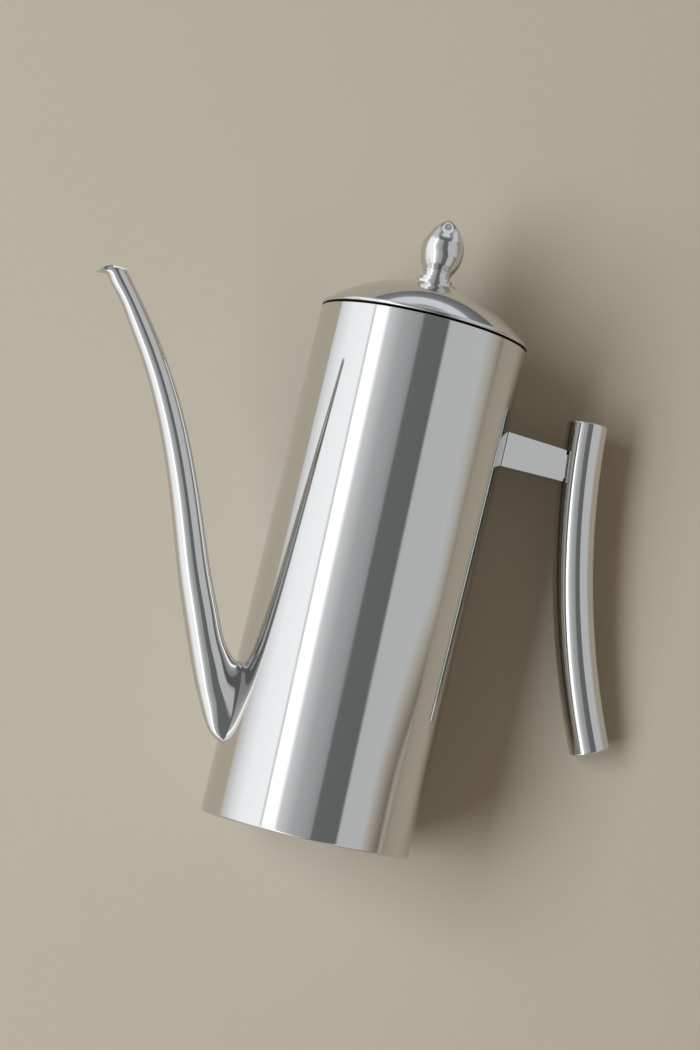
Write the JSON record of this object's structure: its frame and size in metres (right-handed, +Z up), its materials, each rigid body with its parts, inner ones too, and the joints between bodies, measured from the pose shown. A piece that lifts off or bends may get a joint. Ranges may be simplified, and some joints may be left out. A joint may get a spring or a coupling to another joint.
{
  "type": "gooseneck kettle",
  "caption": "Tall cylindrical steel kettle with a slim gooseneck spout, a bowed tube grip on a flat stub and a lift-off domed lid with a bud-shaped knob.",
  "frame": {"origin": "centre of the base's underside, on the surface that the kettle stands on", "axes": "+Z up along the body's axis, -X towards the spout, +X towards the grip, +Y across"},
  "size_m": [0.2722, 0.0904, 0.2698],
  "materials": {
    "polished_steel": "mirror-polished stainless steel, not plated",
    "plain_steel": "satin stainless hardware",
    "gasket_rubber": "matte black sealing washer"
  },
  "bodies": {
    "kettle": {"body_shell": "polished_steel", "base_pan": "polished_steel", "spout_half_near": "polished_steel", "spout_half_far": "polished_steel", "handle_stub": "polished_steel", "handle_tube": "polished_steel", "handle_cap_top": "polished_steel", "handle_cap_bottom": "polished_steel"},
    "lid": {"lid_dome": "polished_steel", "lid_skirt": "polished_steel", "knob": "polished_steel", "knob_foot": "polished_steel", "knob_gasket": "gasket_rubber", "knob_washer": "plain_steel", "knob_lock_washer": "plain_steel", "knob_screw": "plain_steel"}
  },
  "joints": [
    {"name": "lid_lift", "type": "slide", "parent": "kettle", "child": "lid", "axis": [0, 0, 1], "range_m": [0, 0.06]}
  ]
}
